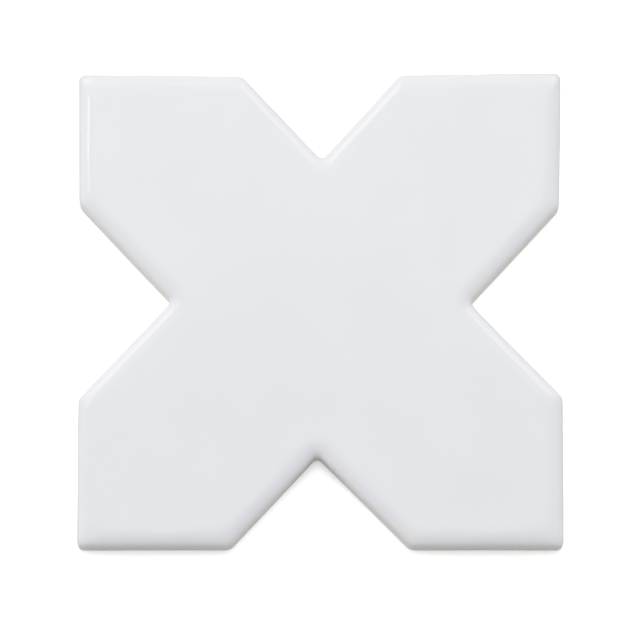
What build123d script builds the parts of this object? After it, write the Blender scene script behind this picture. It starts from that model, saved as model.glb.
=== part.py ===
from build123d import *
import os

# A cross-shaped glazed wall tile, fired as one piece, in millimetres.
# The tile lies on its back: the back is on z = 0, the glazed face looks along +Z, and the
# edges run along X and Y. The left and right notches meet the X axis, and the far and near
# ones the Y axis, so the origin is where the middles of the notches cross.

# Outline: left and right are alike, but the hand-cut far arms are shorter than the near ones
# and spread a little
width = 120.0             # from the left edges to the right ones
far_reach = 57.3          # from the X axis to the far edges, beside their notch
far_flare = 0.7           # how much further the far edges reach at the tips
near_reach = 60.6         # from the X axis to the near edges
side_notch_width = 47.0   # mouth of the left and right V notches, between sharp corners
side_notch_depth = 22.6
far_notch_width = 39.4
far_notch_depth = 21.6
near_notch_width = 43.6
near_notch_depth = 22.7
tip_radius = 1.6          # outer corners of the arms
shoulder_radius = 3.0     # corners at the mouths of the notches
notch_radius = 1.4        # bottoms of the notches

# Section
thickness = 9.0           # from the back to the glazed face
face_roll = 2.6           # rounding of the glazed face down into the walls
back_break = 0.4          # bevel between the walls and the back

# Keying channels, pressed into the back to hold the adhesive
rim = 6.0                 # plain back left between the channels and the walls
channel_width = 5.0
channel_pitch = 10.0      # from channel to channel, with a plain strip along the X axis
channel_depth = 0.8


def right_corners():
    """Corners and radii of the outline's right side, from the near edge round to the far one."""
    edge = width / 2
    side_mouth = side_notch_width / 2
    return [
        ((near_notch_width / 2, -near_reach), shoulder_radius),
        ((edge, -near_reach), tip_radius),
        ((edge, -side_mouth), shoulder_radius),
        ((edge - side_notch_depth, 0), notch_radius),
        ((edge, side_mouth), shoulder_radius),
        ((edge, far_reach + far_flare), tip_radius),
        ((far_notch_width / 2, far_reach), shoulder_radius),
    ]


def outline():
    """The cross, as a flat face: its right side, mirrored to the left between two notches."""
    right = right_corners()
    left = [((-x, y), radius) for (x, y), radius in reversed(right)]
    far_notch = ((0, far_reach - far_notch_depth), notch_radius)
    near_notch = ((0, near_notch_depth - near_reach), notch_radius)
    corners = [near_notch, *right, far_notch, *left]
    points = [point for point, radius in corners]
    radii = [radius for point, radius in corners]
    return make_face(FilletPolyline(*points, radius=radii, close=True))


def blank():
    """The plain tile: straight walls, a rounded face edge and a bevelled back edge."""
    tile = extrude(outline(), thickness)
    tile = fillet(tile.faces().sort_by(Axis.Z)[-1].edges(), face_roll)
    return chamfer(tile.faces().sort_by(Axis.Z)[0].edges(), back_break)


def channels():
    """Parallel strips across the back, each ending at the plain rim."""
    field = offset(outline(), -rim)
    room = min(far_reach, near_reach) - rim - channel_width / 2
    pairs = int(room / channel_pitch + 0.5)
    strips = []
    for step in range(pairs):
        reach = (step + 0.5) * channel_pitch
        for y in (-reach, reach):
            strips.append(Pos(0, y) * Rectangle(width, channel_width))
    return extrude(field & (Sketch() + strips), channel_depth)


cross_tile = blank() - channels()
cross_tile.label = "cross_tile"

os.makedirs("parts", exist_ok=True)
export_step(cross_tile, "parts/cross_tile.step")
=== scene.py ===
"""Looks of the cross-shaped glazed wall tile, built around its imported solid."""
import math

import bpy
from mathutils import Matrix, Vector, noise
from mathutils.geometry import delaunay_2d_cdt


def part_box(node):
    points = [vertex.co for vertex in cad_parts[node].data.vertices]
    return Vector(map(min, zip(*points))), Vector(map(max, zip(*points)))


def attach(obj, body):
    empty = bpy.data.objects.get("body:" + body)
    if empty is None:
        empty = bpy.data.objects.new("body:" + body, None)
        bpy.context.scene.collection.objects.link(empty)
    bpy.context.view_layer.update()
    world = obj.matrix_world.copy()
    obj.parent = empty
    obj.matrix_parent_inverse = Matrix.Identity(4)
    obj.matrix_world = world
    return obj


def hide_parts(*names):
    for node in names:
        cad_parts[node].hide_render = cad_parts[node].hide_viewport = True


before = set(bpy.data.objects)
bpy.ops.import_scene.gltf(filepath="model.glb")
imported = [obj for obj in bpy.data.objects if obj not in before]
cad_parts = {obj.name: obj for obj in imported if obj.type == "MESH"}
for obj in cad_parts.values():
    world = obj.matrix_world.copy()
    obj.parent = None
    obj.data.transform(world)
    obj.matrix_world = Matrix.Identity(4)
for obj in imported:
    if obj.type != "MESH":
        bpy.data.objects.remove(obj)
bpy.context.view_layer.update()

# Lengths are in millimetres unless a comment says otherwise, and MM carries them into metres
MM = 0.001
low, high = [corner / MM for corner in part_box("cross_tile")]

# Outline: sharp corners as the hand-cut edges run, anticlockwise from the near notch, with their radii
TIP_RADIUS = 1.6
SHOULDER_RADIUS = 3.0
NOTCH_RADIUS = 1.4
LEFT_EDGE = low.x + 0.1      # these two edges lie just inside the solid's box
NEAR_EDGE = low.y + 0.04
CORNERS = [
    ((-0.7, -37.6), NOTCH_RADIUS),
    ((22.2, NEAR_EDGE), SHOULDER_RADIUS),
    ((high.x, NEAR_EDGE), TIP_RADIUS),
    ((high.x, -23.3), SHOULDER_RADIUS),
    ((37.1, 0.2), NOTCH_RADIUS),
    ((59.3, 24.2), SHOULDER_RADIUS),
    ((high.x - 0.2, high.y), TIP_RADIUS),
    ((19.9, 57.4), SHOULDER_RADIUS),
    ((0.5, 36.0), NOTCH_RADIUS),
    ((-19.3, 57.1), SHOULDER_RADIUS),
    ((LEFT_EDGE, 57.5), TIP_RADIUS),
    ((-59.7, 24.9), SHOULDER_RADIUS),
    ((-36.8, 0.5), NOTCH_RADIUS),
    ((-59.7, -23.7), SHOULDER_RADIUS),
    ((LEFT_EDGE, NEAR_EDGE), TIP_RADIUS),
    ((-22.2, NEAR_EDGE), SHOULDER_RADIUS),
]

# Section
THICKNESS = high.z
ROLL_WIDTH = 4.3         # oval rounding of the glazed face down into the walls
ROLL_HEIGHT = 2.3
ROLL_SPREAD = 0.7        # growth of an outer corner's plan radius for each millimetre inwards
BACK_BREAK = 0.4         # bevel between the walls and the back

# Keying channels of the back
RIM = 6.0                # plain back between the channels and the walls
CHANNEL_WIDTH = 5.0
CHANNEL_PITCH = 10.0
CHANNEL_PAIRS = 5
CHANNEL_DEPTH = 0.8

# Mesh
ARC_STEPS = 8            # spans in each rounded corner
EDGE_STEPS = 24          # spans in each straight edge
ROLL_STEPS = 16
WALL_STEPS = 4
FACE_RINGS = 3           # rings of the face that follow the outline
RING_GAP = 1.5
GRID = 1.5               # spacing of the points inside the rings
GRID_CLEAR = 0.75        # how far those points keep from the innermost ring
OVERRUN = 1.5            # how far the lines of the channels' sides run on into the rim
MERGE = 1e-5             # points closer than this become one
HULL_TRIANGLES = 0       # result asked of the triangulation: triangles out to the convex hull
CREASE = 35.0            # degrees between two faces from which their edge shows as sharp

# Hand-made shape
RIPPLE = 0.06            # depth of the slow waves in the glaze
RIPPLE_LENGTH = 24.0
RIPPLE_SLICE = 3.7       # height in the noise at which the waves are read
FINE_RIPPLE = 0.4        # strength of the shorter waves on top, as a share of the slow ones
FINE_RATE = 2.3          # how many times shorter those are
WAVER = 0.05             # how far the walls wander in and out
WAVER_LENGTH = 16.0
WAVER_SLICE = 7.0        # height in the noise at which the wander is read
WAVER_SEED = 5           # makes the walls wander the same way in each run
ROLL_WAVER = 0.18        # share by which the roll's width varies
ROLL_WAVER_LENGTH = 13.0

# Finish: each grain as cells per metre and detail, and the colours at its dark and light ends
BODY_GRAIN = (900, 4)
BODY_COLOURS = ((0.775, 0.766, 0.74), (0.875, 0.866, 0.842))
# painted shade: darker body colours for the floors of the back's channels
CHANNEL_SHADE_COLOURS = ((0.675, 0.663, 0.63), (0.795, 0.783, 0.755))
# thin glaze low on the roll: its own greyer colour, darkened further as painted shade on the outer roll
THIN_GRAIN = (300, 2)
THIN_AND_SHADED_COLOURS = ((0.735, 0.733, 0.725), (0.775, 0.773, 0.765))
FULL_GRAIN = (45, 3)
FULL_COLOURS = ((0.786, 0.791, 0.809), (0.8, 0.803, 0.809))
COLOUR_STOPS = (0.3, 0.7)    # greys of a grain between which its colours spread
THIN_AND_SHADED_TO_FULL = (7.3, 8.2)    # heights between which the thin glaze, greyed further by painted shade, gives way to the full glaze colour
GLAZE_LINE = 5.9             # height on the walls where the glaze ends and the bare body begins
GLAZE_WAVE = 2.0             # span of that line's waves
GLAZE_WAVE_GRAIN = (160, 3)
GLAZE_FADE = 0.15            # half the height over which one gives way to the other
LOOKS_DOWN = (-0.6, -0.9)    # range of a normal's Z over which a surface comes to count as facing down
SUNK = (0.5, 0.9)            # shares of the channels' depth between which painted shade darkens them
BODY_ROUGHNESS = 0.85
GLAZE_ROUGHNESS = 0.1
DIMPLE_GRAIN = (240, 2)
DIMPLE_STRENGTH = 0.04
DIMPLE_DEPTH = 0.3

# View
TILT = 8.0               # degrees that the camera leans towards the near edge
DISTANCE = 1860.0
LENS = 422.7
SENSOR = 36.0
AIM = (0.0, -3.6, 4.0)   # what lies in the middle of the picture

# Light, with the lamps' distances and sides in metres
WHITE = (1, 1, 1, 1)
SKY_LEVEL = 0.6
SKY_LEAN = (-0.1, 0.32, -0.09)        # rise of that level to the right, to the far side and upwards
LAMP_COLOUR = (0.975, 0.985, 1.03)    # faintly blue
SOFTBOXES = {
    "softbox_far_left": dict(direction=(-0.45, 0.61, 0.66), distance=0.95, side=0.26, watts=0.45),
    "softbox_far_right": dict(direction=(0.43, 0.6, 0.68), distance=0.95, side=0.38, watts=0.6),
    "panel_above": dict(direction=(0, 0.5, 0.87), distance=0.45, side=0.35, watts=0.12),
    "strip_left": dict(direction=(-0.56, 0.25, 0.79), distance=0.51, side=0.07, watts=0.049),
}
FILLS = {
    "fill_left": dict(direction=(-0.94, 0, 0.34), distance=0.6, side=0.3, watts=0.62),
    "fill_right": dict(direction=(0.94, 0, 0.34), distance=0.6, side=0.3, watts=0.46),
    "key_above": dict(direction=(0, 0.15, 0.99), distance=0.9, side=0.3, watts=1.78),
}

# Floor
FLOOR_REACH = 4000.0                   # from the middle to each side
FLOOR_GREY = (0.74, 0.71, 0.67, 1)     # as it lights the tile
FLOOR_WHITE = (1.42, 1.42, 1.42, 1)    # as the camera sees it: past white, so that only close shade shows
FLOOR_GLOW = 0.19                      # light of its own where it is seen, which softens that shade


def corner_turns():
    """For each corner: place, radius, and the directions of the edges in and out."""
    turns = []
    count = len(CORNERS)
    for i, (place, radius) in enumerate(CORNERS):
        here = Vector(place)
        before = Vector(CORNERS[i - 1][0])
        after = Vector(CORNERS[(i + 1) % count][0])
        turns.append((here, radius, (here - before).normalized(), (after - here).normalized()))
    return turns


def inward(way):
    """Normal to the left of a direction, which is into the tile."""
    return Vector((-way.y, way.x))


def rounded_corner(here, radius, way_in, way_out, inset):
    """Arc of one corner of the outline, moved inwards by a distance."""
    normal_in = inward(way_in)
    normal_out = inward(way_out)
    sharp = here + (normal_in + normal_out) * (inset / (1 + normal_in.dot(normal_out)))
    turn = math.atan2(way_in.cross(way_out), way_in.dot(way_out))
    bend = radius + inset * (ROLL_SPREAD if turn > 0 else 1)
    start = sharp - way_in * (bend * math.tan(abs(turn) / 2))
    centre = start + normal_in * math.copysign(bend, turn)
    spoke = start - centre
    arc = []
    for step in range(ARC_STEPS + 1):
        angle = turn * step / ARC_STEPS
        cosine, sine = math.cos(angle), math.sin(angle)
        arc.append(centre + Vector((spoke.x * cosine - spoke.y * sine, spoke.x * sine + spoke.y * cosine)))
    return arc


def ring(inset):
    """The outline moved inwards by a distance, always with the same number of points."""
    arcs = [rounded_corner(*turn, inset) for turn in corner_turns()]
    points = []
    for i, arc in enumerate(arcs):
        points.extend(arc)
        start = arc[-1]
        end = arcs[(i + 1) % len(arcs)][0]
        for step in range(1, EDGE_STEPS):
            points.append(start.lerp(end, step / EDGE_STEPS))
    return points


def hand_made_ring(inset):
    """A ring whose walls wander a little and whose share of the roll is wider in some places."""
    narrow_ring = ring(inset * (1 - ROLL_WAVER))
    wide_ring = ring(inset * (1 + ROLL_WAVER))
    points = []
    for narrow, wide in zip(narrow_ring, wide_ring):
        middle = (narrow + wide) / 2
        sway = noise.noise(Vector((middle.x, middle.y, 0)) / ROLL_WAVER_LENGTH)
        point = narrow.lerp(wide, 0.5 + 0.5 * sway)
        push = noise.noise_vector(Vector((point.x, point.y, WAVER_SLICE)) / WAVER_LENGTH) * WAVER
        points.append(point + Vector((push.x, push.y)) - point.normalized() * WAVER)
    return points


def ripple(point):
    """How far the glaze lies below the flat face at a point."""
    seat = Vector((point.x, point.y, RIPPLE_SLICE)) / RIPPLE_LENGTH
    wave = noise.noise(seat) + FINE_RIPPLE * noise.noise(seat * FINE_RATE)
    return RIPPLE * (0.5 + 0.5 * max(-1.0, min(1.0, wave)))


def section():
    """Inset and height of each ring, from the back's edge up over the wall and roll onto the face."""
    steps = [(BACK_BREAK, 0.0)]
    wall_top = THICKNESS - ROLL_HEIGHT
    for step in range(WALL_STEPS):
        steps.append((0.0, BACK_BREAK + (wall_top - BACK_BREAK) * step / WALL_STEPS))
    for step in range(ROLL_STEPS + 1):
        angle = math.pi / 2 * step / ROLL_STEPS
        steps.append((ROLL_WIDTH * (1 - math.cos(angle)), wall_top + ROLL_HEIGHT * math.sin(angle)))
    for step in range(1, FACE_RINGS + 1):
        steps.append((ROLL_WIDTH + RING_GAP * step, THICKNESS))
    return steps


def crossings(y, polygon):
    """Places along X where a line across the tile meets a closed polygon, from left to right."""
    places = []
    for a, b in zip(polygon, polygon[1:] + polygon[:1]):
        if (a.y > y) != (b.y > y):
            places.append(a.x + (b.x - a.x) * (y - a.y) / (b.y - a.y))
    return sorted(places)


def inside(point, polygon):
    """Whether a point lies inside a closed polygon."""
    beyond = [x for x in crossings(point.y, polygon) if x > point.x]
    return len(beyond) % 2 == 1


def loop(first, count):
    """Edges of a closed ring of points that are numbered in a row."""
    return [(first + i, first + (i + 1) % count) for i in range(count)]


def middle_of(points, face):
    """Middle of a face that is given by the numbers of its points."""
    return sum((points[i] for i in face), Vector((0, 0))) / len(face)


def fill(border, extra_points, extra_edges):
    """Triangles inside a border, through extra points and along extra edges: points and index triples."""
    points = [*border, *extra_points]
    edges = [*loop(0, len(border)), *extra_edges]
    made, _, faces, *_ = delaunay_2d_cdt(points, edges, [], HULL_TRIANGLES, MERGE)
    return made, [tuple(face) for face in faces if inside(middle_of(made, face), border)]


def face_points(border):
    """Staggered grid of points inside the innermost ring, kept clear of it."""
    count = int(max(max(abs(p.x), abs(p.y)) for p in border) / GRID) + 1
    clear = (-GRID_CLEAR, GRID_CLEAR)
    points = []
    for row in range(-count, count + 1):
        shift = GRID / 2 if row % 2 else 0.0
        for column in range(-count, count + 1):
            point = Vector((column * GRID + shift, row * GRID))
            corners = [point + Vector((dx, dy)) for dx in clear for dy in clear]
            if all(inside(corner, border) for corner in corners):
                points.append(point)
    return points


def channel_sides():
    """Places along Y of the straight sides of the channels."""
    sides = []
    for pair in range(CHANNEL_PAIRS):
        middle = (pair + 0.5) * CHANNEL_PITCH
        for y in (-middle, middle):
            sides += [y - CHANNEL_WIDTH / 2, y + CHANNEL_WIDTH / 2]
    return sides


def channel_lines(field):
    """Ends of each straight side of the channels, across the field and a little past it."""
    lines = []
    for y in channel_sides():
        ends = crossings(y, field)
        for left, right in zip(ends[::2], ends[1::2]):
            lines.append((Vector((left - OVERRUN, y)), Vector((right + OVERRUN, y))))
    return lines


def in_channel(point, field):
    """Whether a point of the back lies in a channel."""
    if not inside(point, field):
        return False
    pitches = abs(point.y) / CHANNEL_PITCH
    away = abs(pitches - math.floor(pitches) - 0.5) * CHANNEL_PITCH
    return away < CHANNEL_WIDTH / 2 and pitches < CHANNEL_PAIRS


class Shell:
    """Vertices and faces of the tile, given in millimetres."""

    def __init__(self):
        self.places = []
        self.faces = []

    def add(self, point, z):
        """A new vertex, and its number."""
        self.places.append((point.x * MM, point.y * MM, z * MM))
        return len(self.places) - 1

    def bridge(self, lower, upper):
        """Faces between two rings of as many vertices."""
        for i, j in loop(0, len(lower)):
            self.faces.append((lower[i], lower[j], upper[j], upper[i]))


def add_sides(shell):
    """Rings from the back's edge over the wall and roll onto the face; returns the first and last."""
    rings = []
    for inset, height in section():
        points = hand_made_ring(inset)
        onto_face = max(0.0, (inset - ROLL_WIDTH) / (RING_GAP * FACE_RINGS))
        rings.append((points, [shell.add(p, height - ripple(p) * onto_face) for p in points]))
    for (_, lower), (_, upper) in zip(rings, rings[1:]):
        shell.bridge(lower, upper)
    return rings[0], rings[-1]


def add_face(shell, border, border_ids):
    """The flat of the glazed face, inside the last ring."""
    made, triangles = fill(border, face_points(border), [])
    ids = list(border_ids)
    for point in made[len(border):]:
        ids.append(shell.add(point, THICKNESS - ripple(point)))
    for a, b, c in triangles:
        shell.faces.append((ids[a], ids[b], ids[c]))


def add_back(shell, border, border_ids):
    """The back, with its channels sunk into it."""
    field = ring(RIM)
    points = list(field)
    edges = loop(len(border), len(field))
    for line in channel_lines(field):
        start = len(border) + len(points)
        points += line
        edges.append((start, start + 1))
    made, triangles = fill(border, points, edges)
    ids = {(i, False): vertex for i, vertex in enumerate(border_ids)}

    def seat(index, is_sunk):
        """Vertex at a point of the back, on its plain level or on the channels' floors."""
        if (index, is_sunk) not in ids:
            ids[index, is_sunk] = shell.add(made[index], CHANNEL_DEPTH if is_sunk else 0.0)
        return ids[index, is_sunk]

    sunk_edges = {}
    for a, b, c in triangles:
        is_sunk = in_channel(middle_of(made, (a, b, c)), field)
        shell.faces.append((seat(c, is_sunk), seat(b, is_sunk), seat(a, is_sunk)))
        for edge in ((a, b), (b, c), (c, a)):
            sunk_edges[edge] = is_sunk
    for (a, b), is_sunk in sunk_edges.items():
        if is_sunk and sunk_edges.get((b, a)) is False:
            shell.faces.append((seat(b, False), seat(a, False), seat(a, True), seat(b, True)))


def add_object(name, data):
    """A new object in the scene."""
    thing = bpy.data.objects.new(name, data)
    bpy.context.scene.collection.objects.link(thing)
    return thing


def build_tile():
    """The whole tile as one closed mesh."""
    noise.seed_set(WAVER_SEED)
    shell = Shell()
    back_ring, face_ring = add_sides(shell)
    add_face(shell, *face_ring)
    add_back(shell, *back_ring)
    mesh = bpy.data.meshes.new("glazed_tile")
    mesh.from_pydata(shell.places, [], shell.faces)
    mesh.validate()
    mesh.shade_smooth()
    mesh.set_sharp_from_angle(angle=math.radians(CREASE))
    return add_object("glazed_tile", mesh)


def feed(tree, value, socket):
    """Gives an input its value, from the output of another node or as a constant."""
    if isinstance(value, bpy.types.NodeSocket):
        tree.links.new(value, socket)
    else:
        socket.default_value = value


def add_noise(tree, place, scale, detail):
    """A noise texture in the piece's own coordinates; returns its grey value."""
    texture = tree.nodes.new("ShaderNodeTexNoise")
    texture.inputs["Scale"].default_value = scale
    texture.inputs["Detail"].default_value = detail
    tree.links.new(place, texture.inputs["Vector"])
    return texture.outputs["Fac"]


def add_ramp(tree, value, dark, light):
    """Colours spread over the middle of a grey value."""
    ramp = tree.nodes.new("ShaderNodeValToRGB")
    for stop, position, colour in zip(ramp.color_ramp.elements, COLOUR_STOPS, (dark, light)):
        stop.position = position
        stop.color = (*colour, 1)
    tree.links.new(value, ramp.inputs["Fac"])
    return ramp.outputs["Color"]


def add_map(tree, value, source, target):
    """A grey value carried from one range to another."""
    carry = tree.nodes.new("ShaderNodeMapRange")
    for name, number in zip(("From Min", "From Max", "To Min", "To Max"), (*source, *target)):
        carry.inputs[name].default_value = number
    tree.links.new(value, carry.inputs["Value"])
    return carry.outputs["Result"]


def add_mix(tree, factor, first, second):
    """A colour that goes from the first to the second as the factor rises."""
    mix = tree.nodes.new("ShaderNodeMix")
    mix.data_type = "RGBA"
    for name, value in zip(("Factor", "A", "B"), (factor, first, second)):
        feed(tree, value, mix.inputs[name])
    return mix.outputs["Result"]


def add_math(tree, operation, *values):
    """A sum on grey values, some of which may be constants."""
    node = tree.nodes.new("ShaderNodeMath")
    node.operation = operation
    for socket, value in zip(node.inputs, values):
        feed(tree, value, socket)
    return node.outputs["Value"]


def z_of(tree, vector):
    """The Z of a place or a normal."""
    split = tree.nodes.new("ShaderNodeSeparateXYZ")
    tree.links.new(vector, split.inputs["Vector"])
    return split.outputs["Z"]


def glaze_line(tree, place, height):
    """1 on the glaze and 0 on the bare body, parted by a wavy line along the walls."""
    waves = add_noise(tree, place, *GLAZE_WAVE_GRAIN)
    wavy_height = add_math(tree, "MULTIPLY_ADD", waves, GLAZE_WAVE * MM, height)
    middle = GLAZE_LINE + GLAZE_WAVE / 2
    edge = ((middle - GLAZE_FADE) * MM, (middle + GLAZE_FADE) * MM)
    return add_map(tree, wavy_height, edge, (0, 1))


def shaded_channel_floors(tree, normal, height):
    """1 on the floors of the back's channels, where shade is painted, and 0 elsewhere."""
    facing_down = add_map(tree, z_of(tree, normal), LOOKS_DOWN, (0, 1))
    sunk = add_map(tree, height, [share * CHANNEL_DEPTH * MM for share in SUNK], (0, 1))
    return add_math(tree, "MULTIPLY", facing_down, sunk)


def body_colour(tree, seat, height):
    """The bare off-white body, with painted shade darkening the floors of the back's channels."""
    grain = add_noise(tree, seat.outputs["Object"], *BODY_GRAIN)
    plain_body = add_ramp(tree, grain, *BODY_COLOURS)
    # darker colour painted as shade on the channel floors
    painted_channel_shade = add_ramp(tree, grain, *CHANNEL_SHADE_COLOURS)
    return add_mix(tree, shaded_channel_floors(tree, seat.outputs["Normal"], height), plain_body, painted_channel_shade)


def glaze_colour(tree, place, height):
    """The white glaze, thinner and greyer low on the roll, with painted shade darkening that outer roll as
    well.
    """
    # the thin glaze's greyer colour, partly its real thinning and partly painted shade on the outer roll
    thin_and_shaded = add_ramp(tree, add_noise(tree, place, *THIN_GRAIN), *THIN_AND_SHADED_COLOURS)
    full = add_ramp(tree, add_noise(tree, place, *FULL_GRAIN), *FULL_COLOURS)
    glaze_depth_and_shade = add_map(tree, height, [z * MM for z in THIN_AND_SHADED_TO_FULL], (0, 1))
    return add_mix(tree, glaze_depth_and_shade, thin_and_shaded, full)


def add_dimples(tree, place):
    """Normals of faint dimples all over the surface."""
    bump = tree.nodes.new("ShaderNodeBump")
    bump.inputs["Strength"].default_value = DIMPLE_STRENGTH
    bump.inputs["Distance"].default_value = DIMPLE_DEPTH * MM
    tree.links.new(add_noise(tree, place, *DIMPLE_GRAIN), bump.inputs["Height"])
    return bump.outputs["Normal"]


def glaze_material():
    """White gloss glaze over the face and roll, and the bare pale body on the walls and back."""
    material = bpy.data.materials.new("white_glaze")
    material.use_nodes = True
    tree = material.node_tree
    seat = tree.nodes.new("ShaderNodeTexCoord")
    place = seat.outputs["Object"]
    height = z_of(tree, place)
    glazed = glaze_line(tree, place, height)
    body = body_colour(tree, seat, height)
    coat = glaze_colour(tree, place, height)
    looks = {
        "Base Color": add_mix(tree, glazed, body, coat),
        "Roughness": add_map(tree, glazed, (0, 1), (BODY_ROUGHNESS, GLAZE_ROUGHNESS)),
        "Normal": add_dimples(tree, place),
    }
    shader = tree.nodes["Principled BSDF"]
    for name, value in looks.items():
        tree.links.new(value, shader.inputs[name])
    return material


def add_seen(tree, path):
    """1 for the rays that see a surface, by camera, gloss or glass, and 0 for those that it lights by."""
    seen = path.outputs["Is Camera Ray"]
    for kind in ("Is Glossy Ray", "Is Transmission Ray"):
        seen = add_math(tree, "MAXIMUM", seen, path.outputs[kind])
    return seen


def floor_material():
    """Paper that is seen as white but for the tile's shadow, and that lights the tile as a pale grey."""
    material = bpy.data.materials.new("white_floor")
    material.use_nodes = True
    tree = material.node_tree
    tree.nodes.clear()
    path = tree.nodes.new("ShaderNodeLightPath")
    colour = add_mix(tree, path.outputs["Is Camera Ray"], FLOOR_GREY, FLOOR_WHITE)
    paper = tree.nodes.new("ShaderNodeBsdfDiffuse")
    tree.links.new(colour, paper.inputs["Color"])
    strength = add_map(tree, add_seen(tree, path), (0, 1), (0, FLOOR_GLOW))
    glow = tree.nodes.new("ShaderNodeEmission")
    tree.links.new(strength, glow.inputs["Strength"])
    both = tree.nodes.new("ShaderNodeAddShader")
    tree.links.new(paper.outputs["BSDF"], both.inputs[0])
    tree.links.new(glow.outputs["Emission"], both.inputs[1])
    out = tree.nodes.new("ShaderNodeOutputMaterial")
    tree.links.new(both.outputs["Shader"], out.inputs["Surface"])
    return material


def add_floor():
    """A large flat floor round the tile, open under it so that its back can be seen from below."""
    border = [Vector(corner) * FLOOR_REACH for corner in ((-1, -1), (1, -1), (1, 1), (-1, 1))]
    seat = hand_made_ring(BACK_BREAK)
    made, faces = fill(border, seat, loop(len(border), len(seat)))
    around = [face for face in faces if not inside(middle_of(made, face), seat)]
    mesh = bpy.data.meshes.new("floor")
    mesh.from_pydata([(p.x * MM, p.y * MM, 0) for p in made], [], around)
    mesh.materials.append(floor_material())
    floor = add_object("floor", mesh)


def look_along(thing, way):
    """Turns a lamp or a camera to look along a direction."""
    thing.rotation_euler = way.to_track_quat("-Z", "Y").to_euler()


def add_lamp(name, direction, distance, side, watts):
    """A square lamp that faces the tile and that the camera does not see."""
    light = bpy.data.lights.new(name, "AREA")
    light.shape = "SQUARE"
    light.size = side
    light.energy = watts
    light.color = LAMP_COLOUR
    lamp = add_object(name, light)
    way = Vector(direction).normalized()
    lamp.location = way * distance
    look_along(lamp, -way)
    lamp.visible_camera = False
    return lamp


def add_lamps():
    """The softboxes, which leave streaks in the glaze, and the fills, which leave none."""
    for name, values in SOFTBOXES.items():
        add_lamp(name, **values)
    for name, values in FILLS.items():
        lamp = add_lamp(name, **values)
        lamp.visible_glossy = False


def add_sky():
    """Soft light from all round, brightest from the far side, that is seen as white."""
    world = bpy.data.worlds.new("studio")
    bpy.context.scene.world = world
    world.use_nodes = True
    tree = world.node_tree
    way = tree.nodes.new("ShaderNodeTexCoord").outputs["Generated"]
    lean = tree.nodes.new("ShaderNodeVectorMath")
    lean.operation = "DOT_PRODUCT"
    feed(tree, way, lean.inputs[0])
    feed(tree, SKY_LEAN, lean.inputs[1])
    level = add_math(tree, "ADD", lean.outputs["Value"], SKY_LEVEL)
    seen = add_seen(tree, tree.nodes.new("ShaderNodeLightPath"))
    backdrop = tree.nodes["Background"]
    backdrop.inputs["Color"].default_value = WHITE
    tree.links.new(add_math(tree, "MAXIMUM", level, seen), backdrop.inputs["Strength"])


def add_camera():
    """A long lens almost square to the face, from a little towards the near edge."""
    lens = bpy.data.cameras.new("camera")
    lens.lens = LENS
    lens.sensor_width = SENSOR
    camera = add_object("camera", lens)
    lean = math.radians(TILT)
    back = Vector((0, -math.sin(lean), math.cos(lean)))
    camera.location = (Vector(AIM) + back * DISTANCE) * MM
    look_along(camera, -back)
    bpy.context.scene.camera = camera


tile = build_tile()
tile.data.materials.append(glaze_material())
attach(tile, "root")
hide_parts("cross_tile")

add_floor()
add_sky()
add_lamps()
add_camera()
bpy.context.scene.view_settings.view_transform = "Standard"
